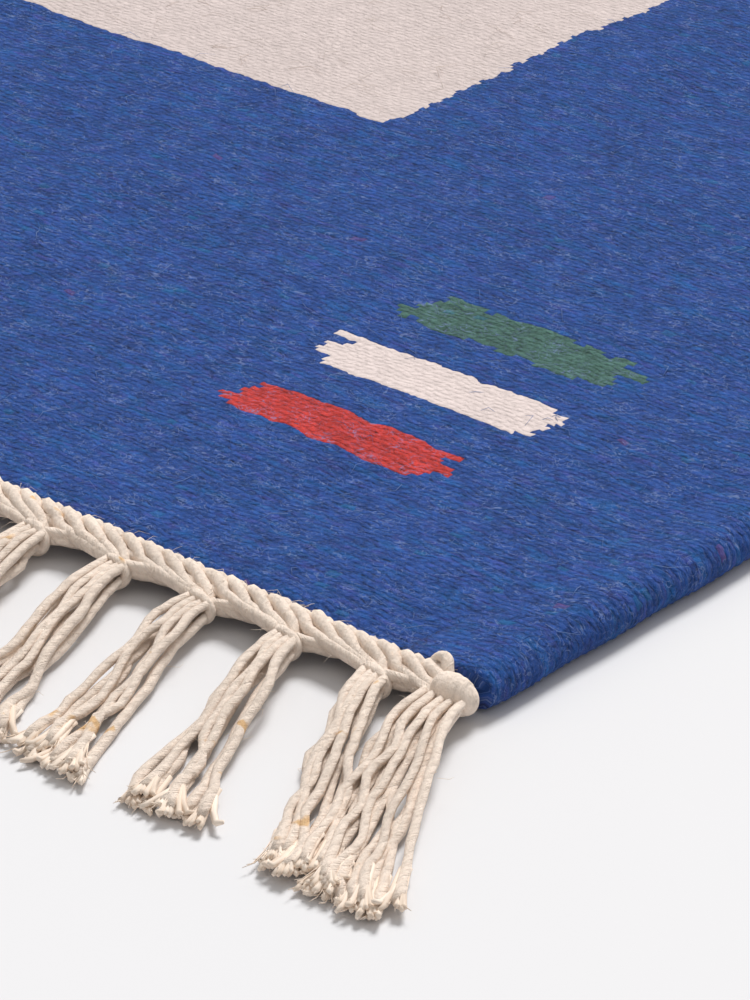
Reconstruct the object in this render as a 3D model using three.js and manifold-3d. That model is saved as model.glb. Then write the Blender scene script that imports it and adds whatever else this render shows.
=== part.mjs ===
// A thick flat-woven wool kilim lying on a floor. The wool web has a rolled selvedge down each long side.
// The cotton warp ends are plaited into a band across each end and gathered into tassels that drop to the
// floor, and a wrapped roll with a tassel of its own finishes each corner.
// Millimetres. +X runs along the weft, +Y along the warp, +Z up, with the origin under the middle of the rug.
import * as THREE from 'three';
import { mergeVertices } from 'three/addons/utils/BufferGeometryUtils.js';
import Module from 'manifold-3d';

const wasm = await Module();
wasm.setup();

// Driving dimensions
const RUG_WIDTH = 800;
const RUG_LENGTH = 1500;
const WEB_THICKNESS = 6.5;
const SELVEDGE_DIAMETER = 8;
const SELVEDGE_FADE = 9;
const PLAIT_WIDTH = 8.4;
const PLAIT_THICKNESS = 4.2;
const PLAIT_CLEARANCE = 2.6;
const RIDGE_HEIGHT = 1.1;
const RIDGES_PER_TASSEL = 4;
const TASSEL_PITCH = 19.5;
const TASSELS_PER_END = 40;
const FRINGE_REACH = 53;
const LOCK_WIDTH = 2.6;
const LOCK_ROOT_INSET = 3;
const LOCK_ROOT_HEIGHT = 0.8;
const CORNER_ROLL_DIAMETER = 7;
const CORNER_ROLL_LENGTH = 7.5;
const CORNER_ROLL_ROUNDING = 1.2;
const CORNER_ROLL_SIDES = 16;
const CORNER_ROLL_HEIGHT = 4.7;
const CORNER_INSET = 0.6;
const CORNER_ROOT_HEIGHT = 3.5;
const SEWN_GAP = 0.3;

// How a lock of the fringe falls: the share of its reach, and its height as a share of its root's height
const LOCK_FALL = [
  { reach: 0, height: 1 },
  { reach: 0.24, height: 0.56 },
  { reach: 0.54, height: 0 },
  { reach: 1, height: 0 },
];

// The locks of one tassel, side by side, and those of the fuller tassel at a corner
const TASSEL_LOCKS = [
  { root: -2.9, tip: -5.2, reach: 0.95 },
  { root: 0, tip: 0.2, reach: 1 },
  { root: 2.9, tip: 5.1, reach: 0.96 },
];
const CORNER_LOCKS = [
  { root: -2.2, tip: 15.5, reach: 0.97 },
  { root: -1.3, tip: 19.8, reach: 0.99 },
  { root: -0.4, tip: 24.1, reach: 1 },
  { root: 0.5, tip: 28.4, reach: 1 },
  { root: 1.4, tip: 32.7, reach: 0.98 },
  { root: 2.3, tip: 37, reach: 0.95 },
];

// Tassels lean a little to one side, and fan outwards near the corners
const LEAN = 12;
const LEAN_SCATTER = 1.6;
const CORNER_FAN = 13.5;
const CORNER_FAN_REACH = 38;

// Worked-out places
const HALF_WIDTH = RUG_WIDTH / 2;
const HALF_LENGTH = RUG_LENGTH / 2;
const WEB_END = HALF_LENGTH - PLAIT_WIDTH - SEWN_GAP;
const CORNER_AT = HALF_WIDTH - CORNER_ROLL_LENGTH / 2 - CORNER_INSET;
const CORNER_OUT = WEB_END + SEWN_GAP + CORNER_ROLL_DIAMETER / 2;
const PLAIT_HALF = CORNER_AT - CORNER_ROLL_LENGTH / 2 - 2 * SEWN_GAP;

const UP = new THREE.Vector3(0, 0, 1);
const MERGE_TOLERANCE = 1e-4;
const SCATTER_STEP = 12.9898;
const SCATTER_SPREAD = 43758.5453;
const wool = new THREE.MeshStandardMaterial({ color: 0x36528c, roughness: 0.95, metalness: 0 });
const cotton = new THREE.MeshStandardMaterial({ color: 0xe3d1c2, roughness: 0.9, metalness: 0 });

// A repeatable scatter from -1 to 1
function scatter(n) {
  const value = Math.sin(n * SCATTER_STEP) * SCATTER_SPREAD;
  return 2 * (value - Math.floor(value)) - 1;
}

// Closed solids for cutting and joining, and back to drawn geometry
function toSolid(geometry) {
  const bare = geometry.clone();
  bare.deleteAttribute('normal');
  bare.deleteAttribute('uv');
  const merged = mergeVertices(bare, MERGE_TOLERANCE);
  return new wasm.Manifold(new wasm.Mesh({
    numProp: 3,
    vertProperties: new Float32Array(merged.attributes.position.array),
    triVerts: new Uint32Array(merged.index.array),
  }));
}

function toGeometry(solid) {
  const mesh = solid.getMesh();
  const geometry = new THREE.BufferGeometry();
  geometry.setAttribute('position', new THREE.BufferAttribute(mesh.vertProperties, 3));
  geometry.setIndex(new THREE.BufferAttribute(mesh.triVerts, 1));
  geometry.computeVertexNormals();
  return geometry;
}

// Moves every point of a geometry with place(point)
function reshape(geometry, place) {
  const points = geometry.attributes.position;
  const point = new THREE.Vector3();
  for (let i = 0; i < points.count; i += 1) {
    place(point.fromBufferAttribute(points, i));
    points.setXYZ(i, point.x, point.y, point.z);
  }
  geometry.computeVertexNormals();
  return geometry;
}

// The web: its cross-section with a roll at each side, run along the warp
function webProfile() {
  const arcSteps = 12;
  const radius = SELVEDGE_DIAMETER / 2;
  const rollAt = HALF_WIDTH - radius;
  const flatTo = rollAt - SELVEDGE_FADE;
  const outline = [new THREE.Vector2(-flatTo, 0), new THREE.Vector2(flatTo, 0)];
  for (let i = 0; i <= arcSteps; i += 1) {
    const turn = -Math.PI / 2 + (Math.PI * i) / arcSteps;
    outline.push(new THREE.Vector2(rollAt + radius * Math.cos(turn), radius + radius * Math.sin(turn)));
  }
  outline.push(new THREE.Vector2(flatTo, WEB_THICKNESS), new THREE.Vector2(-flatTo, WEB_THICKNESS));
  for (let i = 0; i <= arcSteps; i += 1) {
    const turn = Math.PI / 2 + (Math.PI * i) / arcSteps;
    outline.push(new THREE.Vector2(-rollAt + radius * Math.cos(turn), radius + radius * Math.sin(turn)));
  }
  return new THREE.Shape(outline);
}

function webGeometry() {
  const run = new THREE.ExtrudeGeometry(webProfile(), { depth: 2 * WEB_END, bevelEnabled: false });
  run.rotateX(Math.PI / 2);
  run.translate(0, WEB_END, 0);
  return run;
}

// The plaited band of the front end: a low bar with slanting ridges pressed into its upper face
function plaitSolid() {
  const ridgePitch = TASSEL_PITCH / RIDGES_PER_TASSEL;
  const steps = 2 * Math.round((2 * PLAIT_HALF) / ridgePitch);
  const rows = [
    { out: 0, top: 0.95 },
    { out: 0.5, top: 1 },
    { out: 1, top: 0.6 },
  ];
  const outline = rows.map(({ out, top }) => new THREE.Vector2(out * PLAIT_WIDTH, top * PLAIT_THICKNESS));
  outline.push(new THREE.Vector2(PLAIT_WIDTH, 0), new THREE.Vector2(0, 0));
  const section = new THREE.Shape(outline);
  const band = new THREE.ExtrudeGeometry(section, { depth: steps, steps, bevelEnabled: false });
  const stepLength = (2 * PLAIT_HALF) / steps;
  reshape(band, (point) => {
    const step = Math.round(point.z);
    const x = PLAIT_HALF - step * stepLength;
    const row = Math.round((2 * point.x) / PLAIT_WIDTH);
    const inGroove = point.y > 0 && (step + row) % 2 === 1;
    const height = point.y - (inGroove ? RIDGE_HEIGHT : 0);
    point.set(x, -(WEB_END + SEWN_GAP + point.x), PLAIT_CLEARANCE + height);
  });
  return toSolid(band);
}

// One three-sided lock of fringe, flat side down, from its root to its tip on the floor
function lockSolid(root, tip, rootHeight) {
  const steps = LOCK_FALL.length - 1;
  const prism = new THREE.CylinderGeometry(1, 1, steps, 3, steps);
  const along = new THREE.Vector3().subVectors(tip, root).setZ(0);
  const side = along.clone().normalize().cross(UP);
  const lowest = -0.5;
  reshape(prism, (point) => {
    const fall = LOCK_FALL[Math.round(point.y + steps / 2)];
    const place = root.clone().addScaledVector(along, fall.reach);
    place.addScaledVector(side, (point.x * LOCK_WIDTH) / Math.sqrt(3));
    place.z = rootHeight * fall.height + ((point.z - lowest) * LOCK_WIDTH) / Math.sqrt(3);
    point.copy(place);
  });
  return toSolid(prism);
}

// How far a tassel's tip leans along +X from its root
function leanAt(x, index) {
  const fanRight = Math.exp((x - HALF_WIDTH) / CORNER_FAN_REACH);
  const fanLeft = Math.exp((-x - HALF_WIDTH) / CORNER_FAN_REACH);
  return LEAN + LEAN_SCATTER * scatter(index) + CORNER_FAN * (fanRight - fanLeft);
}

// Plaited band and tassels of the front end, as one piece
function fringeGeometry() {
  const rootHeight = PLAIT_CLEARANCE + LOCK_ROOT_HEIGHT;
  let fringe = plaitSolid();
  for (let i = 0; i < TASSELS_PER_END; i += 1) {
    const x = TASSEL_PITCH * (i - (TASSELS_PER_END - 1) / 2);
    const lean = leanAt(x, i + 1);
    for (const { root, tip, reach } of TASSEL_LOCKS) {
      const from = new THREE.Vector3(x + root, -(HALF_LENGTH - LOCK_ROOT_INSET), 0);
      const to = new THREE.Vector3(x + tip + lean, -(HALF_LENGTH + FRINGE_REACH * reach), 0);
      fringe = fringe.add(lockSolid(from, to, rootHeight));
    }
  }
  return toGeometry(fringe);
}

// Wrapped roll at a front corner with its tassel; side is 1 for the right corner and -1 for the left
function cornerGeometry(side) {
  const radius = CORNER_ROLL_DIAMETER / 2;
  const length = CORNER_ROLL_LENGTH;
  const profile = [
    new THREE.Vector2(0, 0),
    new THREE.Vector2(radius - CORNER_ROLL_ROUNDING, 0),
    new THREE.Vector2(radius, CORNER_ROLL_ROUNDING),
    new THREE.Vector2(radius, length - CORNER_ROLL_ROUNDING),
    new THREE.Vector2(radius - CORNER_ROLL_ROUNDING, length),
    new THREE.Vector2(0, length),
  ];
  const roll = new THREE.LatheGeometry(profile, CORNER_ROLL_SIDES);
  const x = side * CORNER_AT;
  roll.translate(0, -length / 2, 0);
  roll.rotateZ(Math.PI / 2);
  roll.translate(x, -CORNER_OUT, CORNER_ROLL_HEIGHT);
  let corner = toSolid(roll);
  for (const { root, tip, reach } of CORNER_LOCKS) {
    const from = new THREE.Vector3(x + side * root, -CORNER_OUT, 0);
    const to = new THREE.Vector3(x + side * tip, -(HALF_LENGTH + FRINGE_REACH * reach), 0);
    corner = corner.add(lockSolid(from, to, CORNER_ROOT_HEIGHT));
  }
  return toGeometry(corner);
}

function named(name, geometry, material, turned) {
  const mesh = new THREE.Mesh(geometry, material);
  mesh.name = name;
  mesh.rotation.z = turned ? Math.PI : 0;
  return mesh;
}

const kilim = new THREE.Group();
kilim.add(named('web', webGeometry(), wool, false));
const fringe = fringeGeometry();
kilim.add(named('fringe_front', fringe, cotton, false), named('fringe_back', fringe, cotton, true));
const cornerRight = cornerGeometry(1);
const cornerLeft = cornerGeometry(-1);
kilim.add(named('corner_front_right', cornerRight, cotton, false));
kilim.add(named('corner_front_left', cornerLeft, cotton, false));
kilim.add(named('corner_back_left', cornerRight, cotton, true));
kilim.add(named('corner_back_right', cornerLeft, cotton, true));

export default kilim;
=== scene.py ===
"""Looks of a thick flat-woven wool kilim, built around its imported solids.

Sizes are in millimetres, in the part's frame, and become metres where a mesh is made. The front end is
modelled with x along the weft and `out` from the web's edge towards the tassels' tips. The back end is the
front end turned round.
"""
import math

import bpy
import numpy as np
from mathutils import Matrix, Vector


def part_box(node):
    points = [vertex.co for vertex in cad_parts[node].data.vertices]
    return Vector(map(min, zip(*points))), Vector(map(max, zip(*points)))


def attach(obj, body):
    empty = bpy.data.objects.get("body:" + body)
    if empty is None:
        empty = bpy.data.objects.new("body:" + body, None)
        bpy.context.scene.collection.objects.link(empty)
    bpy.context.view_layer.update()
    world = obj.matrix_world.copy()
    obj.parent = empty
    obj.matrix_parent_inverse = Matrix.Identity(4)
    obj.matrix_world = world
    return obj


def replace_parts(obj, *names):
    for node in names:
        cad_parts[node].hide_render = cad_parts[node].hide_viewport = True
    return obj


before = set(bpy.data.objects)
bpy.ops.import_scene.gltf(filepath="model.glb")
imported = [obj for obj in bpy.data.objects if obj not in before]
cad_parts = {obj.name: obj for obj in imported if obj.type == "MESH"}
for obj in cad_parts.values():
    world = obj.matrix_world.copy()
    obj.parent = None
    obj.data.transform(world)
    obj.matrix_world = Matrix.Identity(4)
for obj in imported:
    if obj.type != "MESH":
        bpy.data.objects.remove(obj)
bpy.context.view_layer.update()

MM = 0.001

# Sizes read from the solids
WEB_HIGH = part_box("web")[1] / MM
HALF_WIDTH = WEB_HIGH.x
WEB_END = WEB_HIGH.y

# Driving sizes, as in the solids or within a millimetre of them
WEB_THICKNESS = 6.5
ROLL_RADIUS = 4.0
PLAIT_WIDTH = 8.7
TASSEL_PITCH = 19.5
TASSELS_PER_END = 40
FRINGE_REACH = 53.0
CORNER_FROM_SIDE = 4.35
CORNER_OUT = 3.8
CORNER_HEIGHT = 4.7
CORNER_RADIUS = 3.2
CORNER_LENGTH = 7.5
LEAN = 12.0
LEAN_SCATTER = 1.6
SCATTER_STEP = 12.9898
SCATTER_SPREAD = 43758.5453
CORNER_AT = HALF_WIDTH - CORNER_FROM_SIDE
PLAIT_HALF = CORNER_AT - CORNER_LENGTH / 2
FLOOR_GAP = 0.02

# Extra lean of the tassels near a corner, a little more than that of the solids' locks
CORNER_FAN = 34.8
CORNER_FAN_REACH = 22.0

# Woven design: half sizes of the field, and the bars near each corner as distances from the side and the end
FIELD_HALF_WIDTH = HALF_WIDTH - 167.6
FIELD_HALF_LENGTH = WEB_END - 171.1
BAR_FROM_SIDE = (55.5, 106.4)
BARS = (
    {"colour": "red", "from_end": (50.0, 62.0)},
    {"colour": "cream_bar", "from_end": (75.6, 88.8)},
    {"colour": "green", "from_end": (101.5, 113.8)},
)
WARP_PITCH = 2.4
PICK_PITCH = 1.5
PLY_PITCH = 3.4

# Linear colours of the yarns
COLOURS = {
    "blue": (0.0200, 0.0655, 0.260),
    "blue_teal": (0.0138, 0.0855, 0.282),
    "blue_violet": (0.0385, 0.0615, 0.268),
    # Lighter stray fibres, and the painted sheen on the blue wool's fuzz
    "blue_hair_and_sheen": (0.185, 0.250, 0.470),
    "cream": (0.645, 0.55, 0.525),
    "cream_bar": (0.74, 0.63, 0.60),
    "red": (0.50, 0.043, 0.036),
    "green": (0.061, 0.134, 0.110),
    "fleck_red": (0.20, 0.05, 0.16),
    "fleck_teal": (0.01, 0.18, 0.34),
    "cotton": (0.98, 0.835, 0.715),
    "cotton_shade": (0.90, 0.70, 0.55),
    "husk": (0.80, 0.44, 0.12),
    "speck": (0.10, 0.08, 0.07),
}


# Where things lie

def scatter(n):
    """The solids' repeatable scatter from -1 to 1."""
    value = math.sin(n * SCATTER_STEP) * SCATTER_SPREAD
    return 2 * (value - math.floor(value)) - 1


def lean_at(x, index):
    """How far a tassel's tip leans along +X from its root."""
    fan = math.exp((x - HALF_WIDTH) / CORNER_FAN_REACH) - math.exp((-x - HALF_WIDTH) / CORNER_FAN_REACH)
    return LEAN + LEAN_SCATTER * scatter(index) + CORNER_FAN * fan


def front_to_part(points, turned):
    """Points given as x, out and height above the floor, as points of the part."""
    x, out, z = points[..., 0], points[..., 1], points[..., 2]
    turn = -1 if turned else 1
    return np.stack([turn * x, -turn * (WEB_END + out), z], axis=-1)


def smooth_run(knots, shares):
    """Catmull-Rom curve through evenly spaced knots, at shares from 0 to 1 of its run."""
    knots = np.asarray(knots, float)
    padded = np.concatenate([[2 * knots[0] - knots[1]], knots, [2 * knots[-1] - knots[-2]]])
    place = np.clip(shares, 0, 1) * (len(knots) - 1)
    before = np.minimum(place.astype(int), len(knots) - 2)
    t = (place - before)[..., None]
    p0, p1, p2, p3 = (padded[before + i] for i in range(4))
    bend = (2 * p0 - 5 * p1 + 4 * p2 - p3) * t**2 + (3 * p1 - p0 - 3 * p2 + p3) * t**3
    return 0.5 * (2 * p1 + (p2 - p0) * t + bend)


def ripple(x, y, length, seed):
    """Smooth repeatable unevenness from about -1 to 1: waves of mixed directions and about one length."""
    rng = np.random.default_rng(seed)
    total = np.zeros_like(x, dtype=float)
    waves = 6
    for _ in range(waves):
        direction, phase = rng.uniform(0, 2 * math.pi, 2)
        wavelength = length * rng.uniform(0.7, 1.5)
        travelled = x * math.cos(direction) + y * math.sin(direction)
        total += np.sin(2 * math.pi * travelled / wavelength + phase)
    return total / math.sqrt(waves)


# Mesh making

def new_piece(name, points, polygons, material, attributes=None):
    """A smooth piece that rides on the part. points are in millimetres, and polygons are index arrays."""
    mesh = bpy.data.meshes.new(name)
    points[:, 2] = np.maximum(points[:, 2], FLOOR_GAP)
    mesh.vertices.add(len(points))
    mesh.vertices.foreach_set("co", (points * MM).astype(np.float32).ravel())
    corners = np.concatenate([p.ravel() for p in polygons]).astype(np.int32)
    sizes = np.concatenate([np.full(len(p), p.shape[1]) for p in polygons])
    starts = (np.cumsum(sizes) - sizes).astype(np.int32)
    mesh.loops.add(len(corners))
    mesh.loops.foreach_set("vertex_index", corners)
    mesh.polygons.add(len(sizes))
    mesh.polygons.foreach_set("loop_start", starts)
    mesh.update(calc_edges=True)
    mesh.validate()
    mesh.shade_smooth()
    for label, values in (attributes or {}).items():
        mesh.attributes.new(label, "FLOAT", "POINT").data.foreach_set("value", values.astype(np.float32))
    mesh.materials.append(material)
    piece = bpy.data.objects.new(name, mesh)
    bpy.context.scene.collection.objects.link(piece)
    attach(piece, "root")
    return piece


class Yarns:
    """Closed tubes gathered into one mesh. Each point knows its yarn, and how far along and round it lies."""

    def __init__(self):
        self.points, self.quads, self.caps = [], [], {}
        self.along, self.yarn = [], []
        self.facing_across, self.facing_up = [], []
        self.count = 0

    def add(self, paths, radii, sides, rng, lobes=0.0, twist=0.0):
        """Tubes along paths[tube, station], with lobes that twist round them as plied yarn does."""
        paths = np.asarray(paths, float)
        tubes, stations, _ = paths.shape
        radii = np.broadcast_to(radii, (tubes, stations))
        run_step = np.linalg.norm(np.diff(paths, axis=1), axis=2)
        run = np.concatenate([np.zeros((tubes, 1)), np.cumsum(run_step, axis=1)], axis=1)
        forward = np.gradient(paths, axis=1)
        forward /= np.linalg.norm(forward, axis=2, keepdims=True)
        across = np.zeros_like(forward)
        upright_start = np.abs(forward[:, 0, 2]) > 0.9
        carried = np.where(upright_start[:, None], (1.0, 0.0, 0.0), (0.0, 0.0, 1.0))
        for station in range(stations):
            ahead = forward[:, station]
            carried = carried - (carried * ahead).sum(1, keepdims=True) * ahead
            carried /= np.linalg.norm(carried, axis=1, keepdims=True)
            across[:, station] = carried
        upright = np.cross(forward, across)
        angle = 2 * math.pi * np.arange(sides) / sides
        phase = rng.uniform(0, 2 * math.pi, (tubes, 1, 1))
        swell = 1 + lobes * np.cos(2 * (angle - twist * run[..., None]) + phase)
        ring = (radii[..., None] * swell)[..., None]
        turned = np.cos(angle)[:, None] * across[:, :, None] + np.sin(angle)[:, None] * upright[:, :, None]
        points = paths[:, :, None] + ring * turned

        index = self.count + np.arange(tubes * stations * sides).reshape(tubes, stations, sides)
        following = np.roll(index, -1, axis=2)
        quads = np.stack([index[:, :-1], following[:, :-1], following[:, 1:], index[:, 1:]], axis=-1)
        self.quads.append(quads.reshape(-1, 4))
        caps = np.concatenate([index[:, 0, ::-1], index[:, -1]])
        self.caps.setdefault(sides, []).append(caps)
        self.points.append(points.reshape(-1, 3))
        shape = (tubes, stations, sides)
        self.along.append(np.broadcast_to(run[..., None], shape).ravel())
        self.facing_across.append(np.broadcast_to(np.cos(angle), shape).ravel())
        self.facing_up.append(np.broadcast_to(np.sin(angle), shape).ravel())
        self.yarn.append(np.broadcast_to(rng.uniform(0, 1, (tubes, 1, 1)), shape).ravel())
        self.count += tubes * stations * sides

    def piece(self, name, material, slot, turned=None):
        """The gathered tubes as one piece; turned is None where the points are already the part's."""
        points = np.concatenate(self.points)
        if turned is not None:
            points = front_to_part(points, turned)
        polygons = [np.concatenate(self.quads)]
        polygons += [np.concatenate(caps) for caps in self.caps.values()]
        if turned is not None:
            polygons = [p[:, ::-1] for p in polygons]
        attributes = {
            "along": np.concatenate(self.along),
            "facing_across": np.concatenate(self.facing_across),
            "facing_up": np.concatenate(self.facing_up),
            "yarn": np.concatenate(self.yarn),
        }
        return new_piece(name, points, polygons, material, attributes)


# Materials

class Graph:
    """A material's nodes, added by short calls that return output sockets."""

    def __init__(self, name):
        self.material = bpy.data.materials.new(name)
        self.material.use_nodes = True
        self.tree = self.material.node_tree
        self.shader = self.tree.nodes["Principled BSDF"]

    def put(self, socket, value):
        """Links a socket to an input, or sets the input to a constant."""
        if isinstance(value, bpy.types.NodeSocket):
            self.tree.links.new(value, socket)
        else:
            socket.default_value = value

    def node(self, kind, inputs, output=0, **settings):
        """A new node with its settings and inputs; returns one of its outputs."""
        node = self.tree.nodes.new(kind)
        for key, value in settings.items():
            setattr(node, key, value)
        for key, value in inputs.items():
            self.put(node.inputs[key], value)
        return node.outputs[output]

    def math(self, operation, *values):
        inputs = dict(enumerate(values))
        return self.node("ShaderNodeMath", inputs, operation=operation)

    def product(self, *values):
        """All the values multiplied together."""
        result = values[0]
        for value in values[1:]:
            result = self.math("MULTIPLY", result, value)
        return result

    def total(self, *values):
        """All the values added together."""
        result = values[0]
        for value in values[1:]:
            result = self.math("ADD", result, value)
        return result

    def split(self, vector):
        node = self.tree.nodes.new("ShaderNodeSeparateXYZ")
        self.put(node.inputs[0], vector)
        return node.outputs

    def join(self, x, y, z=0.0):
        return self.node("ShaderNodeCombineXYZ", {"X": x, "Y": y, "Z": z})

    def stretched(self, vector, x, y, z=1.0):
        return self.node("ShaderNodeVectorMath", {0: vector, 1: (x, y, z)}, operation="MULTIPLY")

    def noise(self, vector, scale, detail=2.0, roughness=0.5, distortion=0.0):
        inputs = {"Vector": vector, "Scale": scale, "Detail": detail, "Roughness": roughness,
                  "Distortion": distortion}
        return self.node("ShaderNodeTexNoise", inputs)

    def random(self, vector):
        return self.node("ShaderNodeTexWhiteNoise", {"Vector": vector}, noise_dimensions="2D")

    def remap(self, value, low, high, to_low=0.0, to_high=1.0, smooth=False):
        inputs = {"Value": value, "From Min": low, "From Max": high, "To Min": to_low, "To Max": to_high}
        kind = "SMOOTHSTEP" if smooth else "LINEAR"
        return self.node("ShaderNodeMapRange", inputs, interpolation_type=kind)

    def mix(self, share, first, second):
        node = self.tree.nodes.new("ShaderNodeMix")
        node.data_type = "RGBA"
        self.put(node.inputs["Factor"], share)
        for name, value in (("A", first), ("B", second)):
            socket = next(s for s in node.inputs if s.name == name and s.type == "RGBA")
            self.put(socket, value if isinstance(value, bpy.types.NodeSocket) else (*value, 1.0))
        return next(s for s in node.outputs if s.type == "RGBA")

    def scaled(self, colour, factor):
        node = self.tree.nodes.new("ShaderNodeVectorMath")
        node.operation = "SCALE"
        self.put(node.inputs[0], colour)
        self.put(node.inputs["Scale"], factor)
        return node.outputs[0]

    def attribute(self, name):
        return self.node("ShaderNodeAttribute", {}, output="Fac", attribute_name=name)

    def place(self):
        return self.node("ShaderNodeTexCoord", {}, output="Object")

    def finish(self, colour, height=None, **values):
        """Sets the shader; height is in millimetres."""
        self.put(self.shader.inputs["Base Color"], colour)
        for name, value in values.items():
            self.put(self.shader.inputs[name.replace("_", " ")], value)
        if height is not None:
            bump = self.node("ShaderNodeBump", {"Height": height, "Distance": MM, "Strength": 1.0})
            self.put(self.shader.inputs["Normal"], bump)
        return self.material


def inside(graph, value, low, high):
    """1 where value lies between low and high, else 0."""
    above = graph.math("GREATER_THAN", value, low)
    below = graph.math("LESS_THAN", value, high)
    return graph.product(above, below)


def cloth_place(graph):
    """Place on the cloth in millimetres: across it and over its rolled sides, and along it."""
    along = graph.math("DIVIDE", graph.split(graph.place())[1], MM)
    return graph.join(graph.attribute("across"), along)


def weave_cells(graph, cloth):
    """The wool floats, laid like uneven bricks: the float's numbers and middle, and the shares across it."""
    x, y, _ = graph.split(cloth)
    drift_x = graph.remap(graph.noise(cloth, 0.21), 0.0, 1.0, -1.3, 1.3)
    drift_y = graph.remap(graph.noise(cloth, 0.17, detail=3.0), 0.0, 1.0, -2.0, 2.0)
    across = graph.math("ADD", x, drift_x)
    along = graph.math("ADD", y, drift_y)
    pick_at = graph.math("DIVIDE", along, PICK_PITCH)
    pick = graph.math("FLOOR", pick_at)
    shift = graph.product(graph.math("FLOORED_MODULO", pick, 2.0), 0.5)
    float_at = graph.math("ADD", graph.math("DIVIDE", across, WARP_PITCH), shift)
    number = graph.math("FLOOR", float_at)
    middle_x = graph.product(graph.math("SUBTRACT", graph.math("ADD", number, 0.5), shift), WARP_PITCH)
    middle_y = graph.product(graph.math("ADD", pick, 0.5), PICK_PITCH)
    return {
        "number": number, "pick": pick, "at_x": across, "middle_x": middle_x, "middle_y": middle_y,
        "share_x": graph.math("SUBTRACT", float_at, number), "share_y": graph.math("SUBTRACT", pick_at, pick),
    }


def design_colour(graph, cells, blue):
    """Colour of the woven design at a float, stepped where a colour turns back, and how pale it is."""
    pick = cells["pick"]
    from_middle_x = graph.math("ABSOLUTE", cells["middle_x"])
    from_middle_y = graph.math("ABSOLUTE", cells["middle_y"])
    pair = graph.math("FLOOR", graph.math("DIVIDE", pick, 2.0))
    step_outer = graph.random(graph.join(pair, 3.0))
    step_inner = graph.random(graph.join(pair, 7.0))
    step_each = graph.random(graph.join(pick, 11.0))
    wave_y = graph.remap(graph.noise(graph.join(cells["middle_x"], 0.0), 0.35), 0.0, 1.0, -0.6, 0.6)
    ragged_y = graph.remap(graph.random(graph.join(cells["number"], 17.0)), 0.0, 1.0, -0.4, 0.4)
    uneven_y = graph.total(from_middle_y, wave_y, ragged_y)
    side_near = HALF_WIDTH - BAR_FROM_SIDE[0]
    side_far = HALF_WIDTH - BAR_FROM_SIDE[1]
    each = graph.product(step_each, 3.0)
    outer_end = graph.math("SUBTRACT", side_near + 4.5, graph.total(graph.product(step_outer, 7.0), each))
    inner_end = graph.total(graph.product(step_inner, 7.0), each, side_far - 4.5)
    colour = blue
    pale = 0.0
    for bar in BARS:
        near, far = bar["from_end"]
        over = graph.product(inside(graph, uneven_y, WEB_END - far, WEB_END - near),
                             inside(graph, from_middle_x, inner_end, outer_end))
        colour = graph.mix(over, colour, COLOURS[bar["colour"]])
        if bar["colour"] == "cream_bar":
            pale = over
    jog = graph.random(graph.join(graph.math("FLOOR", graph.math("DIVIDE", pick, 9.0)), 5.0))
    field_side = graph.math("ADD", graph.product(jog, 2.0), FIELD_HALF_WIDTH - 1.0)
    uneven_x = graph.math("ADD", graph.math("ABSOLUTE", cells["at_x"]), graph.product(step_each, 1.4))
    over_x = graph.math("LESS_THAN", uneven_x, field_side)
    over_field = graph.product(over_x, graph.math("LESS_THAN", uneven_y, FIELD_HALF_LENGTH))
    return graph.mix(over_field, colour, COLOURS["cream"]), graph.math("MAXIMUM", pale, over_field)


def heathered_blue(graph, cloth):
    """Blue wool with greener and redder yarns blended in."""
    drawn = graph.stretched(cloth, 0.10, 0.32)
    greener = graph.remap(graph.noise(drawn, 1.0, detail=3.0, roughness=0.6), 0.46, 0.70, smooth=True)
    redder = graph.remap(graph.noise(drawn, 1.7, detail=3.0, roughness=0.6), 0.50, 0.72, smooth=True)
    colour = graph.mix(greener, COLOURS["blue"], COLOURS["blue_teal"])
    return graph.mix(redder, colour, COLOURS["blue_violet"])


def stray_fibres(graph, cloth, scale, patch, distortion):
    """Fine curved lines, each shown for part of its run."""
    level = graph.noise(cloth, scale, detail=1.0, distortion=distortion)
    off = graph.math("ABSOLUTE", graph.math("SUBTRACT", level, 0.5))
    line = graph.remap(off, 0.006, 0.022, 1.0, 0.0, smooth=True)
    shown = graph.remap(graph.noise(cloth, patch, detail=2.0), 0.50, 0.60, smooth=True)
    return graph.product(line, shown)


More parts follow.
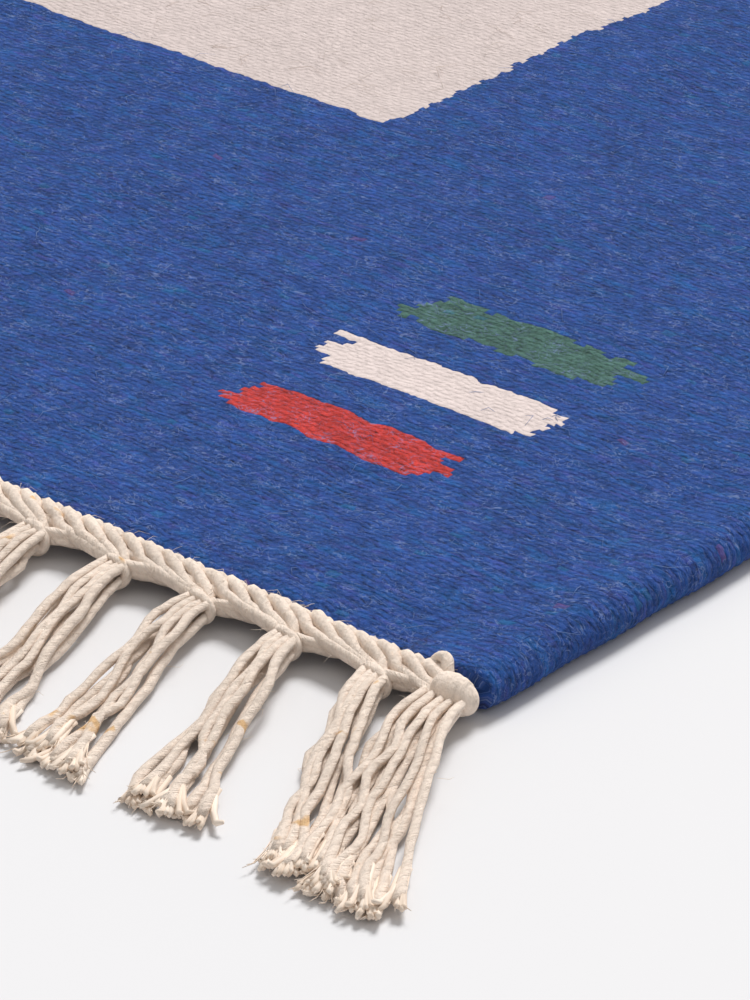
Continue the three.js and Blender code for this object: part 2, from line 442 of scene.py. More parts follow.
def web_material():
    """Felted weft-faced wool: low uneven floats with painted shade in the gaps at some, and fibres with a
    painted sheen lying over them.
    """
    graph = Graph("wool_web")
    cloth = cloth_place(graph)
    cells = weave_cells(graph, cloth)
    own = graph.random(graph.join(cells["number"], cells["pick"]))
    rare = graph.random(graph.join(cells["pick"], cells["number"]))
    colour, pale = design_colour(graph, cells, heathered_blue(graph, cloth))
    # Strength of the painted shade and of the mottling: weaker on the pale yarns.
    strength = graph.remap(pale, 0.0, 1.0, 1.0, 0.30)

    edge_y = graph.math("PINGPONG", cells["share_y"], 0.5)
    edge_x = graph.math("PINGPONG", cells["share_x"], 0.5)
    # Painted shade in the gap between floats, shown at some of them.
    gap_shade = graph.product(graph.remap(edge_y, 0.02, 0.24, 1.0, 0.0, smooth=True),
                        graph.remap(edge_x, 0.0, 0.20, smooth=True),
                        graph.remap(own, 0.40, 0.95, smooth=True))
    dome = graph.product(graph.remap(edge_x, 0.0, 0.30, smooth=True),
                         graph.remap(edge_y, 0.0, 0.38, smooth=True))
    felt = graph.noise(graph.stretched(cloth, 0.30, 0.38), 1.0, detail=4.0, roughness=0.70, distortion=1.3)
    fine = graph.noise(graph.stretched(cloth, 1.2, 1.7), 1.0, detail=2.0, roughness=0.65, distortion=1.8)
    patches = graph.noise(cloth, 0.05, detail=2.0)
    fibres = graph.math("MAXIMUM", stray_fibres(graph, cloth, 0.30, 0.17, 1.6),
                        stray_fibres(graph, graph.stretched(cloth, -0.8, 1.2), 0.42, 0.22, 1.0))

    # Darkening: painted shade in the gaps and towards the floats' edges (gap_shade, dome), and the wool's own
    # mottling (felt, fine, patches, own).
    dark = graph.total(graph.product(gap_shade, 0.50), graph.remap(felt, 0.30, 0.70, 0.42, -0.42),
                       graph.remap(fine, 0.30, 0.70, 0.17, -0.17),
                       graph.remap(patches, 0.3, 0.7, 0.07, -0.07),
                       graph.remap(own, 0.0, 1.0, 0.07, -0.07), graph.remap(dome, 0.0, 1.0, 0.07, -0.04))
    shade = graph.math("SUBTRACT", 1.0, graph.product(dark, strength))
    colour = graph.scaled(colour, shade)
    # Paler fuzz: lighter stray fibres, and a painted sheen where the fuzz catches the light.
    hair_and_sheen_colour = graph.mix(pale, COLOURS["blue_hair_and_sheen"], COLOURS["cream_bar"])
    tangle = graph.noise(graph.stretched(cloth, 0.9, 1.1), 1.0, detail=3.0, roughness=0.7, distortion=2.2)
    fuzz_sheen = graph.remap(tangle, 0.52, 0.78, smooth=True)
    fibres_and_sheen = graph.math("MAXIMUM", graph.product(fibres, 0.55), graph.product(fuzz_sheen, 0.48))
    colour = graph.mix(fibres_and_sheen, colour, hair_and_sheen_colour)
    on_blue = graph.math("SUBTRACT", 1.0, pale)
    reddish = graph.product(graph.math("GREATER_THAN", rare, 0.9990), on_blue, 0.30)
    colour = graph.mix(reddish, colour, COLOURS["fleck_red"])
    tealish = graph.product(graph.math("LESS_THAN", rare, 0.006), on_blue, 0.25)
    colour = graph.mix(tealish, colour, COLOURS["fleck_teal"])

    height = graph.total(graph.product(dome, 0.22), graph.product(felt, 0.60), graph.product(fine, 0.22))
    height = graph.product(height, graph.remap(pale, 0.0, 1.0, 1.0, 0.75))
    return graph.finish(colour, height, Roughness=1.0, Specular_IOR_Level=0.08, Sheen_Weight=0.05,
                        Sheen_Roughness=0.6)


def cotton_material():
    """Undyed cotton yarn: twisted fibres along each yarn, a few husk flecks, darker stretches partly of
    painted shade, and painted shade in the ply grooves.
    """
    graph = Graph("cotton_yarn")
    place = graph.place()
    along, yarn = (graph.attribute(name) for name in ("along", "yarn"))
    angle = graph.math("ARCTAN2", graph.attribute("facing_up"), graph.attribute("facing_across"))
    slanted = graph.total(angle, graph.product(along, math.pi / PLY_PITCH), graph.product(yarn, 20.0))
    ply = graph.math("ABSOLUTE", graph.math("COSINE", slanted))
    circle = graph.product(slanted, 2.0)
    wound = graph.join(graph.math("SINE", circle), graph.math("COSINE", circle),
                       graph.math("ADD", graph.product(along, 0.12), graph.product(yarn, 70.0)))
    streaks = graph.noise(wound, 1.6, detail=4.0, roughness=0.6)
    fibres = graph.noise(place, 1400.0, detail=3.0, roughness=0.7)
    patches = graph.noise(place, 120.0, detail=3.0)
    # Darker stretches along the twist: partly the yarn's own tone, partly painted shade in the cotton_shade
    # colour.
    streak_tone_and_shade = graph.remap(streaks, 0.40, 0.80, smooth=True)
    colour = graph.mix(graph.product(streak_tone_and_shade, 0.45), COLOURS["cotton"], COLOURS["cotton_shade"])
    husk = graph.remap(graph.noise(place, 150.0, detail=2.0, distortion=0.4), 0.665, 0.73, smooth=True)
    colour = graph.mix(graph.product(husk, 0.7), colour, COLOURS["husk"])
    speck = graph.remap(graph.noise(place, 520.0, detail=1.0), 0.80, 0.84, smooth=True)
    colour = graph.mix(graph.product(speck, 0.8), colour, COLOURS["speck"])
    # Fibres, yarn and patches vary the cotton's tone; ply adds painted shade in the grooves between the
    # plies.
    shade = graph.product(graph.remap(fibres, 0.25, 0.75, 0.89, 1.08), graph.remap(yarn, 0, 1, 0.96, 1.04),
                          graph.remap(patches, 0.3, 0.7, 0.95, 1.04),
                          graph.remap(ply, 0.0, 0.5, 0.94, 1.01, smooth=True))
    height = graph.total(graph.product(ply, 0.18), graph.product(streaks, 0.42), graph.product(fibres, 0.36))
    return graph.finish(graph.scaled(colour, shade), height, Roughness=0.95, Specular_IOR_Level=0.04,
                        Sheen_Weight=0.10, Sheen_Roughness=0.5)


def fuzz_material(name, light, dark):
    """Loose hairs, lighter and darker by hair."""
    graph = Graph(name)
    colour = graph.mix(graph.attribute("yarn"), light, dark)
    return graph.finish(colour, Roughness=0.9, Specular_IOR_Level=0.1, Sheen_Weight=0.1)


def floor_material():
    """A pale matt floor with a faint unevenness."""
    graph = Graph("pale_floor")
    cloudy = graph.noise(graph.place(), 6.0, detail=3.0)
    colour = graph.mix(cloudy, (0.72, 0.715, 0.725), (0.75, 0.745, 0.755))
    return graph.finish(colour, Roughness=0.7, Specular_IOR_Level=0.2)


# The wool web and its rolled sides

def make_web(material):
    """The woven sheet as one closed mesh, uneven as a thick weave lies."""
    edge = HALF_WIDTH - 7.0
    columns = np.linspace(-edge, edge, 70)
    end_rows = WEB_END - np.array([0.0, 0.5, 1.4, 3.0, 5.5])
    middle_rows = np.linspace(-(WEB_END - 9.0), WEB_END - 9.0, 140)
    rows = np.concatenate([-end_rows, middle_rows, end_rows[::-1]])
    x, y = np.meshgrid(columns, rows, indexing="ij")
    rounded = np.minimum(1, (WEB_END - np.abs(y)) / 3.0)
    drop = 0.7 * (1 - rounded) ** 2
    uneven = 0.28 * ripple(x, y, 55.0, 1) + 0.12 * ripple(x, y, 24.0, 2)
    top = np.stack([x, y, WEB_THICKNESS - drop + uneven], axis=-1)
    under = np.stack([x, y, 0.05 + drop * 0.4], axis=-1)
    count = len(columns) * len(rows)
    index = np.arange(count).reshape(x.shape)
    upper = np.stack([index[:-1, :-1], index[1:, :-1], index[1:, 1:], index[:-1, 1:]], axis=-1).reshape(-1, 4)
    rim = np.concatenate([index[:, 0], index[-1, 1:], index[-2::-1, -1], index[0, -2:0:-1]])
    after = np.roll(rim, -1)
    wall = np.stack([rim, rim + count, after + count, after], axis=-1)
    polygons = [np.concatenate([upper, upper[:, ::-1] + count, wall])]
    points = np.concatenate([top.reshape(-1, 3), under.reshape(-1, 3)])
    return new_piece("web_weave", points, polygons, material, {"across": points[:, 0].copy()})


# Section of a rolled side from the web's top round to its underside
SELVEDGE_SECTION = (
    {"inset": 21.0, "height": 5.6, "relief": 0.0},
    {"inset": 16.0, "height": 6.6, "relief": 0.0},
    {"inset": 12.0, "height": 7.0, "relief": 0.1},
    {"inset": 8.6, "height": 7.4, "relief": 0.2},
    {"inset": 6.0, "height": 7.7, "relief": 0.3},
    {"inset": 4.2, "height": 7.7, "relief": 0.5},
    {"inset": 2.7, "height": 7.3, "relief": 0.7},
    {"inset": 1.4, "height": 6.5, "relief": 0.9},
    {"inset": 0.5, "height": 5.3, "relief": 1.0},
    {"inset": 0.1, "height": 4.0, "relief": 1.0},
    {"inset": 0.3, "height": 2.7, "relief": 1.0},
    {"inset": 1.0, "height": 1.5, "relief": 1.0},
    {"inset": 2.2, "height": 0.6, "relief": 0.8},
    {"inset": 4.0, "height": 0.1, "relief": 0.4},
    {"inset": 8.0, "height": 0.1, "relief": 0.1},
    {"inset": 14.0, "height": 0.6, "relief": 0.0},
)


def column(rows, *names):
    """Named columns of a short table as one array."""
    return np.array([[row[name] for name in names] for row in rows], float)


def make_selvedge(name, side, material, seed):
    """The roll down one side, with its wrapping yarn as low slanting ridges."""
    rng = np.random.default_rng(seed)
    inset, level, relief = column(SELVEDGE_SECTION, "inset", "height", "relief").T
    steps = np.hypot(np.diff(inset), np.diff(level))
    arc = np.concatenate([[0.0], np.cumsum(steps)])
    spacing = 0.9
    stations = int(2 * WEB_END / spacing)
    y = np.linspace(-WEB_END, WEB_END, stations)
    pitch = 2.3 + 0.3 * ripple(y, np.zeros_like(y), 23.0, seed)
    slant = 0.12
    turns = np.cumsum(spacing / pitch)[:, None] + slant * arc * relief
    wrap = turns.astype(int)
    height = rng.uniform(0.15, 0.55, wrap.max() + 2)[wrap]
    ridge = height * (np.abs(np.sin(math.pi * turns)) ** 0.7 - 0.6)
    outward = np.stack([ROLL_RADIUS - inset, level - ROLL_RADIUS], axis=-1)
    outward /= np.linalg.norm(outward, axis=1, keepdims=True)
    push = (ridge + 0.18 * ripple(y, np.zeros_like(y), 31.0, seed + 5)[:, None]) * relief
    x = np.minimum(HALF_WIDTH - inset + push * outward[:, 0], HALF_WIDTH + 0.6)
    z = level + push * outward[:, 1]
    end_share = np.clip((WEB_END - np.abs(y)) / 2.0, 0, 1)[:, None]
    middle = WEB_THICKNESS / 2
    z = middle + (z - middle) * (0.86 + 0.14 * end_share**0.5)
    grid_y = np.broadcast_to(y[:, None], x.shape)
    points = np.stack([side * x, grid_y, z], axis=-1).reshape(-1, 3)
    across = side * np.broadcast_to(HALF_WIDTH - inset[0] + arc, x.shape).ravel()
    around = len(inset)
    index = np.arange(stations * around).reshape(stations, around)
    following = np.roll(index, -1, axis=1)
    quads = np.stack([index[:-1], following[:-1], following[1:], index[1:]], axis=-1).reshape(-1, 4)
    caps = np.stack([index[0, ::-1], index[-1]])
    polygons = [quads, caps]
    if side < 0:
        polygons = [p[:, ::-1] for p in polygons]
    return new_piece(name, points, polygons, material, {"across": across})


# Loose hairs

HAIR_SHARES = np.array([0.0, 0.5, 1.0])
HAIR_TAPER = np.array([0.7, 1.0, 0.4])
HAIR_SIDES = 3
COTTON_HAIR_RISE = (0.1, 0.8)
COTTON_HAIR_RADIUS = (0.03, 0.05)


def hairs(roots, ahead, length, arch, radius, rng):
    """Paths and radii of fine hairs that arch over a surface from their roots."""
    count = len(roots)
    side = np.stack([-ahead[:, 1], ahead[:, 0], np.zeros(count)], axis=-1)
    curl = rng.normal(0, 0.35, count) * length
    paths = roots[:, None] + ahead[:, None] * (length[:, None] * HAIR_SHARES)[..., None]
    paths = paths + side[:, None] * (curl[:, None] * np.sin(math.pi * HAIR_SHARES * 0.8))[..., None]
    paths[..., 2] += arch[:, None] * np.sin(math.pi * HAIR_SHARES)
    radii = radius[:, None] * HAIR_TAPER
    return paths, radii


def flat_directions(count, rng):
    """Unit directions spread all round, in the plane of the floor."""
    angle = rng.uniform(0, 2 * math.pi, count)
    return np.stack([np.cos(angle), np.sin(angle), np.zeros(count)], axis=-1)


# The plaited ends and their tassels, in the front end's own frame

CORDS_PER_TASSEL = 4
CORD_PITCH = TASSEL_PITCH / CORDS_PER_TASSEL
CORD_LEAD = 8.5
CORD_RISE = (
    {"x": -0.9, "out": -1.4, "z": 3.6, "radius": 0.9},
    {"x": -0.2, "out": 0.55, "z": 5.35, "radius": 1.35},
    {"x": 1.8, "out": 1.6, "z": 5.85, "radius": 1.35},
    {"x": 5.0, "out": 3.2, "z": 5.7, "radius": 1.25},
    {"x": 8.0, "out": 4.8, "z": 5.1, "radius": 1.2},
)
CORD_GATHER = (
    {"spread": 0.75, "out": 6.7, "z": 4.3, "radius": 1.15},
    {"spread": 1.0, "out": 8.4, "z": 3.5, "radius": 1.0},
)
CORD_SPREAD = 1.25
UNDER_CORD = (
    {"x": 1.3, "out": -1.4, "z": 3.6, "radius": 0.7},
    {"x": 2.0, "out": 0.45, "z": 5.5, "radius": 1.12},
    {"x": 3.8, "out": 1.4, "z": 5.6, "radius": 1.12},
    {"x": 6.2, "out": 2.6, "z": 4.4, "radius": 0.8},
)
EDGE_RUN = (
    {"x": 0.8, "out": 8.0, "z": 4.6},
    {"x": 2.6, "out": 7.0, "z": 4.9},
    {"x": 6.0, "out": 5.7, "z": 4.8},
    {"x": 9.5, "out": 4.0, "z": 4.6},
    {"x": 12.0, "out": 2.2, "z": 4.8},
)
PLAIT_CORES = ({"out": 1.8, "z": 5.0, "radius": 1.25}, {"out": 4.0, "z": 4.8, "radius": 1.1})
STRAND_RADIUS = 0.86
STRAND_FALL = (1.0, 1.12, 1.0, 0.70, 0.36, 0.12, 0.0, 0.0, 0.0)
HAIRS_PER_STRAND = 4
TIP_TUFTS = (
    {"count": 6, "reach": (0.3, 3.0), "width": 1.10, "radii": (0.48, 0.66, 0.64, 0.38), "sides": 4},
    {"count": 8, "reach": (0.5, 3.2), "width": 1.2, "radii": (0.11, 0.14, 0.12, 0.05), "sides": 3},
)
EDGE_RADIUS = 1.08
HITCH = {"out": 7.2, "run": 2.8, "half_width": 3.3, "half_height": 1.8, "middle_x": 0.3, "middle_z": 3.5}
TASSEL_ROOT = {"out": 6.4, "z": 2.9, "spread": 1.5, "layer_rise": 1.7}
TIP_SPREAD = 3.6
REACH_SHARES = (0.90, 1.0)
TASSEL_STRANDS = (
    {"across": -1.5, "layer": 0}, {"across": -0.5, "layer": 0}, {"across": 0.5, "layer": 0},
    {"across": 1.5, "layer": 0}, {"across": -1.3, "layer": 1}, {"across": -0.3, "layer": 1},
    {"across": 0.7, "layer": 1}, {"across": 1.6, "layer": 1},
)


def tassel_places():
    """Number and x of each tassel along an end."""
    return [(i + 1, TASSEL_PITCH * (i - (TASSELS_PER_END - 1) / 2)) for i in range(TASSELS_PER_END)]


def within_plait(paths):
    """Paths held between the corner rolls."""
    paths[..., 0] = np.clip(paths[..., 0], -PLAIT_HALF, PLAIT_HALF + 1.0)
    return paths


def add_plait(yarns, rng):
    """Cords that slant from the web and gather into each tassel, over a core that fills the band."""
    rise = column(CORD_RISE, "x", "out", "z")
    gather = column(CORD_GATHER, "spread", "out", "z")
    thick = np.concatenate([column(CORD_RISE, "radius"), column(CORD_GATHER, "radius")])
    under = column(UNDER_CORD, "x", "out", "z")
    under_thick = column(UNDER_CORD, "radius")[:, 0]
    shares = np.linspace(0, 1, 15)
    under_shares = np.linspace(0, 1, 8)
    radii = smooth_run(thick, shares)[:, 0]
    under_radii = smooth_run(under_thick[:, None], under_shares)[:, 0]
    roots = [x for _, x in tassel_places()]
    roots.append(roots[-1] + TASSEL_PITCH)
    for root in roots:
        for cord in range(CORDS_PER_TASSEL):
            start = root - CORD_LEAD - CORD_PITCH * cord + rng.uniform(-0.35, 0.35)
            if start > PLAIT_HALF - 3.0:
                continue
            spread = CORD_SPREAD * ((CORDS_PER_TASSEL - 1) / 2 - cord)
            ends = gather.copy()
            ends[:, 0] = root + spread * gather[:, 0]
            knots = np.concatenate([rise + (start, 0, 0), ends]) + rng.normal(0, 0.10, (len(thick), 3))
            path = within_plait(smooth_run(knots, shares))
            yarns.add(path[None], radii * rng.uniform(0.93, 1.07), 8, rng, lobes=0.10, twist=0.55)
            path = smooth_run(under + (start, 0, 0) + rng.normal(0, 0.12, under.shape), under_shares)
            thickness = under_radii * rng.uniform(0.9, 1.1)
            yarns.add(within_plait(path)[None], thickness, 7, rng, lobes=0.1, twist=0.6)
    x = np.linspace(-PLAIT_HALF, PLAIT_HALF, 2 * TASSELS_PER_END + 1)
    for core in PLAIT_CORES:
        line = np.stack([x, np.full_like(x, core["out"]), np.full_like(x, core["z"])], axis=-1)
        yarns.add(line[None], core["radius"], 8, rng)


def add_edge_cords(yarns, rng):
    """Two yarns that leave each tassel's neck and run back under the plait's next cords."""
    knots = column(EDGE_RUN, "x", "out", "z")
    shares = np.linspace(0, 1, 10)
    for _, x in tassel_places():
        for drop, push in ((0.0, 0.0), (1.2, 0.2)):
            path = smooth_run(knots + rng.normal(0, 0.15, knots.shape), shares)
            path = within_plait(path + np.array([x, push, -drop]))
            yarns.add(path[None], EDGE_RADIUS * rng.uniform(0.92, 1.08), 7, rng, lobes=0.1, twist=0.6)


def add_hitch(yarns, x, rng):
    """The yarn that goes once round a tassel's neck."""
    stations = 18
    angle = np.radians(np.linspace(125, -110, stations))
    share = np.linspace(0, 1, stations)
    path = np.stack([
        x + HITCH["middle_x"] + HITCH["half_width"] * np.cos(angle),
        HITCH["out"] + HITCH["run"] * share,
        HITCH["middle_z"] + HITCH["half_height"] * np.sin(angle),
    ], axis=-1)
    path += rng.normal(0, 0.08, 3)
    yarns.add(path[None], EDGE_RADIUS * rng.uniform(0.92, 1.06), 7, rng, lobes=0.1, twist=0.6)


def strand_path(root, tip, layer, bow, rng, stations=20):
    """A strand that arches out from its root and down to the floor, and leans along it to its tip."""
    knots = len(STRAND_FALL)
    share = np.linspace(0, 1, knots)
    settled = np.minimum(1, 3 * share)
    plan_x = root[0] + (tip[0] - root[0]) * share**bow + rng.normal(0, 0.62, knots) * settled
    plan_out = root[1] + (tip[1] - root[1]) * share
    lifted = layer * 1.8 * (1 - 0.55 * share) + np.abs(rng.normal(0, 0.25, knots)) * settled
    fallen = STRAND_RADIUS + (root[2] - STRAND_RADIUS) * np.array(STRAND_FALL)
    height = fallen + lifted * np.minimum(1, 2 * share)
    path = smooth_run(np.stack([plan_x, plan_out, height], axis=-1), np.linspace(0, 1, stations))
    path[2:] += rng.normal(0, 0.10, (stations - 2, 3))
    path[:, 2] = np.maximum(path[:, 2], STRAND_RADIUS)
    return path


def add_strand(yarns, tufts, root, tip, layer, bow, rng):
    """One tassel strand, with its end opened into a soft tuft."""
    path = strand_path(root, tip, layer, bow, rng)
    share = np.linspace(0, 1, len(path))
    swelling = np.interp(share, (0, 0.80, 0.94, 1), (1, 1, 1.32, 1.0))
    yarns.add(path[None], STRAND_RADIUS * rng.uniform(0.92, 1.08) * swelling, 6, rng, lobes=0.06, twist=0.3)
    ahead = path[-1] - path[-4]
    ahead = ahead / np.linalg.norm(ahead)
    side = np.array([-ahead[1], ahead[0], 0.0])
    for tuft in TIP_TUFTS:
        count = tuft["count"]
        spread = rng.normal(0, tuft["width"], count)[:, None]
        rise = np.abs(rng.normal(0, 0.6, count))
        length = rng.uniform(*tuft["reach"], count)[:, None]
        starts = path[-4] + side * rng.normal(0, 0.4, count)[:, None]
        bends = path[-1] + side * spread * 0.8
        ends = path[-1] + ahead * length + side * spread * 1.5
        ends[:, 2] += rise - 0.3
        threads = np.array([smooth_run(run, np.linspace(0, 1, 4)) for run in zip(starts, bends, ends)])
        threads[..., 2] = np.maximum(threads[..., 2], 0.4)
        tufts.add(threads, np.array(tuft["radii"]), tuft["sides"], rng)
    count = HAIRS_PER_STRAND
    roots = path[rng.integers(3, len(path) - 2, count)] + rng.normal(0, 0.5, (count, 3))
    paths, radii = hairs(roots, flat_directions(count, rng), rng.uniform(1.2, 3.5, count),
                         rng.uniform(*COTTON_HAIR_RISE, count), rng.uniform(*COTTON_HAIR_RADIUS, count), rng)
    tufts.add(paths, radii, HAIR_SIDES, rng)


def add_tassel(yarns, tufts, number, x, rng):
    """One tassel of eight strands, gathered at its neck and spreading to its tips."""
    lean = lean_at(x, number)
    add_hitch(yarns, x, rng)
    for strand in TASSEL_STRANDS:
        across, layer = strand["across"], strand["layer"]
        root_x = x + TASSEL_ROOT["spread"] * across + rng.normal(0, 0.15)
        root = np.array([root_x, TASSEL_ROOT["out"], TASSEL_ROOT["z"] + TASSEL_ROOT["layer_rise"] * layer])
        reach = PLAIT_WIDTH + FRINGE_REACH * rng.uniform(*REACH_SHARES)
        tip = np.array([x + lean + TIP_SPREAD * across + rng.normal(0, 1.3), reach, 0.0])
        add_strand(yarns, tufts, root, tip, layer, 1.15, rng)


def make_end(name, turned, material, fluff, seed):
    """Plait, tassels and frayed tips of one end, as three pieces."""
    rng = np.random.default_rng(seed)
    plait, strands, tufts = Yarns(), Yarns(), Yarns()
    add_plait(plait, rng)
    add_edge_cords(plait, rng)
    for number, x in tassel_places():
        add_tassel(strands, tufts, number, x, rng)
    return [
        plait.piece(f"plait_{name}", material, "cotton", turned),
        strands.piece(f"tassels_{name}", material, "cotton", turned),
        tufts.piece(f"frayed_{name}", fluff, "cotton", turned),
    ]


# Wrapped corner rolls

CORNER_STRANDS = 14
CORNER_ROOTS = (-6.5, 2.4)
CORNER_TIPS = (10.5, 33.0)
CORNER_REACH_SHARES = (0.89, 1.0)
CORNER_LOOP = ((-8.6, 1.0, 5.0), (-7.8, -0.6, 6.9), (-6.0, -0.3, 7.5), (-4.6, 1.2, 6.4), (-3.6, 2.6, 4.6))


def make_corner(name, side, turned, material, fluff, seed):
    """The wrapped roll at one corner of an end with its fuller tassel, and the tassel's frayed tips."""
    rng = np.random.default_rng(seed)
    yarns, tufts = Yarns(), Yarns()
    x = side * CORNER_AT
    stations = 36
    share = np.linspace(0, 1, stations)
    roll = np.stack([
        x + side * CORNER_LENGTH * (share - 0.5), CORNER_OUT + 0.4 * np.sin(math.pi * share),
        np.full(stations, CORNER_HEIGHT) + 0.25 * np.sin(2 * math.pi * share),
    ], axis=-1)
    rounding = np.sqrt(np.clip(1 - np.abs((share - 0.42) / 0.60) ** 2.4, 0.02, 1))
    ridges = 0.13 * np.abs(np.sin(math.pi * 5 * share)) ** 0.7
    yarns.add(roll[None], (CORNER_RADIUS * rounding + ridges)[None], 20, rng)
    loop = np.array(CORNER_LOOP) * (side, 1, 1) + (x, 0, 0)
    yarns.add(smooth_run(loop, np.linspace(0, 1, 14))[None], 1.25, 8, rng, lobes=0.1, twist=0.5)
    for i in range(CORNER_STRANDS):
        place = (i + 0.5) / CORNER_STRANDS
        layer = 1 if i % 3 == 1 else 0
        root_x = x + side * np.interp(place, (0, 1), CORNER_ROOTS)
        root = np.array([root_x, CORNER_OUT + 0.6, 3.6 + 0.9 * layer])
        reach = PLAIT_WIDTH + FRINGE_REACH * rng.uniform(*CORNER_REACH_SHARES)
        tip_x = x + side * (np.interp(place, (0, 1), CORNER_TIPS) + rng.normal(0, 1.2))
        tip = np.array([tip_x, reach, 0.0])
        add_strand(yarns, tufts, root, tip, layer + 0.3, 1.2, rng)
    return [
        yarns.piece(f"wrap_{name}", material, "cotton", turned),
        tufts.piece(f"frayed_{name}", fluff, "cotton", turned),
    ]


# Hairs of the wool and of the plait

WOOL_HAIRS = 13000
PLAIT_HAIRS = 1200


def over_cream(x, y):
    """Where the cream field lies."""
    return (np.abs(x) < FIELD_HALF_WIDTH) & (np.abs(y) < FIELD_HALF_LENGTH)


def make_wool_fuzz(materials):
    """Hairs that stand up from the web and its sides: blue ones on the border, cream ones on the field."""
    rng = np.random.default_rng(41)
    margin = 1.0
    x = rng.uniform(-HALF_WIDTH + margin, HALF_WIDTH - margin, WOOL_HAIRS)
    y = rng.uniform(-WEB_END + margin, WEB_END - margin, WOOL_HAIRS)
    inset, level = column(SELVEDGE_SECTION[:10], "inset", "height").T
    rim = np.interp(HALF_WIDTH - np.abs(x), inset[::-1], level[::-1])
    z = np.maximum(rim, np.where(np.abs(x) < HALF_WIDTH - 12.0, WEB_THICKNESS, 0.0))
    roots = np.stack([x, y, z - 0.1], axis=-1)
    cream = over_cream(x, y)
    pieces = []
    for name, chosen, material in (
        ("hairs_border", ~cream, materials[0]), ("hairs_field", cream, materials[1]),
    ):
        number = int(chosen.sum())
        yarns = Yarns()
        length = rng.uniform(2.5, 8.0, number)
        paths, radii = hairs(roots[chosen], flat_directions(number, rng), length,
                             rng.uniform(0.2, 1.2, number), rng.uniform(0.035, 0.07, number), rng)
        yarns.add(paths, radii, HAIR_SIDES, rng)
        pieces.append(yarns.piece(name, material, "wool"))
    return pieces


def make_cotton_fuzz(name, turned, material, seed):
    """Hairs along the plait of one end."""
    rng = np.random.default_rng(seed)
    count = PLAIT_HAIRS
    roots = np.stack([
        rng.uniform(-PLAIT_HALF, PLAIT_HALF, count), rng.uniform(0.0, 8.2, count), np.zeros(count),
    ], axis=-1)
    roots[:, 2] = np.interp(roots[:, 1], (0, 3, 8.2), (6.3, 6.6, 4.4))
    yarns = Yarns()
    paths, radii = hairs(roots, flat_directions(count, rng), rng.uniform(1.5, 4.5, count),
                         rng.uniform(*COTTON_HAIR_RISE, count), rng.uniform(*COTTON_HAIR_RADIUS, count), rng)
    yarns.add(paths, radii, HAIR_SIDES, rng)
    return yarns.piece(f"hairs_{name}", material, "cotton", turned)


# Camera, floor and light

CAMERA = {"azimuth": 39.74, "elevation": 26.95, "roll": 1.11, "distance": 883.6, "lens": 180.0}
CAMERA_TARGET = {"from_side": 57.1, "from_end": 37.1, "height": 7.35}
KEY = {"direction": (-0.6, 1.6, 2.0), "strength": 2.96, "softness": 22.0}
AMBIENT = {"colour": (1.0, 0.99, 0.985, 1.0), "strength": 0.50}


def add_camera():
    """A long-lens camera at the photograph's angle to the front right corner."""
    azimuth, elevation, roll = (math.radians(CAMERA[name]) for name in ("azimuth", "elevation", "roll"))
    back = Vector((math.sin(azimuth) * math.cos(elevation), -math.cos(azimuth) * math.cos(elevation),
                   math.sin(elevation)))
    level = Vector((math.cos(azimuth), math.sin(azimuth), 0.0))
    upward = back.cross(level)
    right = level * math.cos(roll) + upward * math.sin(roll)
    top = upward * math.cos(roll) - level * math.sin(roll)
    target = Vector((HALF_WIDTH - CAMERA_TARGET["from_side"], -WEB_END + CAMERA_TARGET["from_end"],
                     CAMERA_TARGET["height"]))
    camera = bpy.data.objects.new("camera", bpy.data.cameras.new("camera"))
    bpy.context.scene.collection.objects.link(camera)
    camera.data.lens = CAMERA["lens"]
    camera.data.clip_start = 0.01
    camera.data.clip_end = 100.0
    turn = Matrix((right, top, back)).transposed().to_4x4()
    camera.matrix_world = Matrix.Translation((target + back * CAMERA["distance"]) * MM) @ turn
    bpy.context.scene.camera = camera


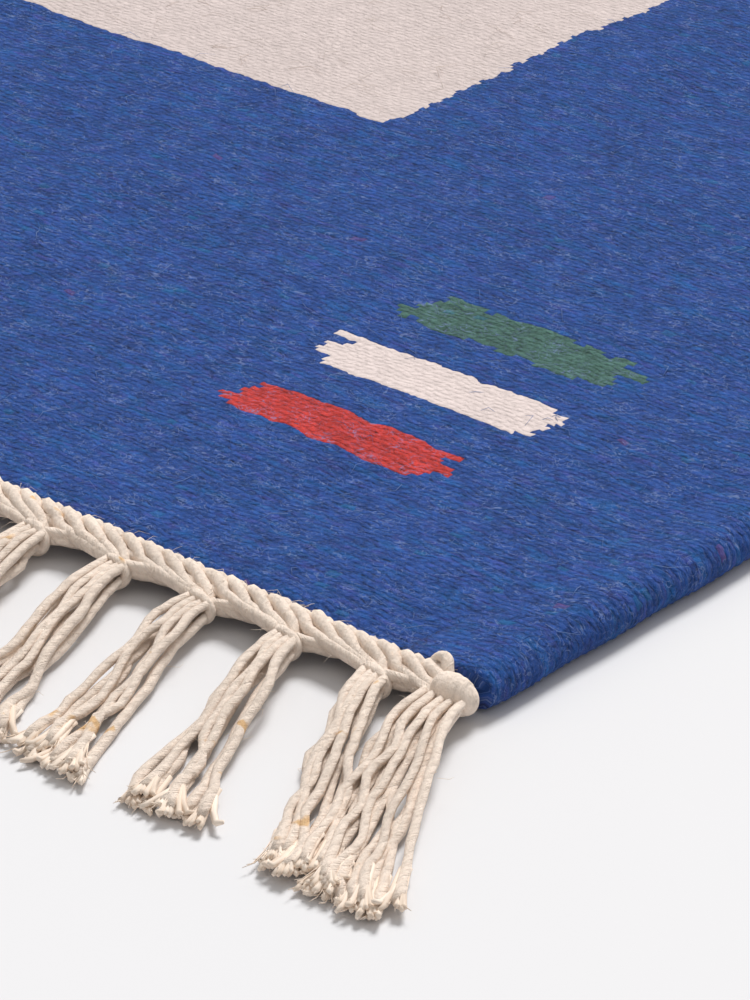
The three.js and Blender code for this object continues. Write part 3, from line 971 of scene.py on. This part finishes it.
def add_floor():
    """One wide plain floor."""
    size = 6.0
    mesh = bpy.data.meshes.new("floor")
    corners = [(-size, -size, 0.0), (size, -size, 0.0), (size, size, 0.0), (-size, size, 0.0)]
    mesh.from_pydata(corners, [], [(0, 1, 2, 3)])
    mesh.materials.append(floor_material())
    floor = bpy.data.objects.new("floor", mesh)
    bpy.context.scene.collection.objects.link(floor)


def add_key(direction, strength, softness):
    """A light from one direction, even over the whole floor. Softness is the angle it fills, in degrees."""
    light = bpy.data.lights.new("key", "SUN")
    light.energy = strength
    light.angle = math.radians(softness)
    lamp = bpy.data.objects.new("key", light)
    lamp.rotation_mode = "QUATERNION"
    lamp.rotation_quaternion = Vector(direction).to_track_quat("Z", "Y")
    bpy.context.scene.collection.objects.link(lamp)


def add_light():
    """Even light all round, and the key."""
    world = bpy.data.worlds.new("studio")
    bpy.context.scene.world = world
    world.use_nodes = True
    background = world.node_tree.nodes["Background"]
    background.inputs["Color"].default_value = AMBIENT["colour"]
    background.inputs["Strength"].default_value = AMBIENT["strength"]
    add_key(KEY["direction"], KEY["strength"], KEY["softness"])
    bpy.context.scene.view_settings.view_transform = "Standard"


add_camera()
add_floor()
add_light()

wool_web = web_material()
cotton_yarn = cotton_material()
blue_hairs = fuzz_material("blue_hairs", (0.20, 0.29, 0.54), (0.05, 0.11, 0.34))
cream_hairs = fuzz_material("cream_hairs", (0.85, 0.76, 0.70), (0.70, 0.58, 0.50))
cotton_hairs = fuzz_material("cotton_hairs", (0.95, 0.82, 0.70), (0.84, 0.69, 0.56))

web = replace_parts(make_web(wool_web), "web")
sides = [
    make_selvedge("selvedge_right", 1, wool_web, 11),
    make_selvedge("selvedge_left", -1, wool_web, 12),
]
fringes = []
for end, turned, seed in (("front", False, 21), ("back", True, 22)):
    made = make_end(end, turned, cotton_yarn, cotton_hairs, seed)
    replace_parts(made[0], f"fringe_{end}")
    fringes += made
    fringes.append(make_cotton_fuzz(end, turned, cotton_hairs, seed + 30))
for corner, side, turned, seed in (
    ("front_right", 1, False, 31), ("front_left", -1, False, 32),
    ("back_left", 1, True, 33), ("back_right", -1, True, 34),
):
    made = make_corner(corner, side, turned, cotton_yarn, cotton_hairs, seed)
    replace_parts(made[0], f"corner_{corner}")
    fringes += made
fuzz = make_wool_fuzz((blue_hairs, cream_hairs))
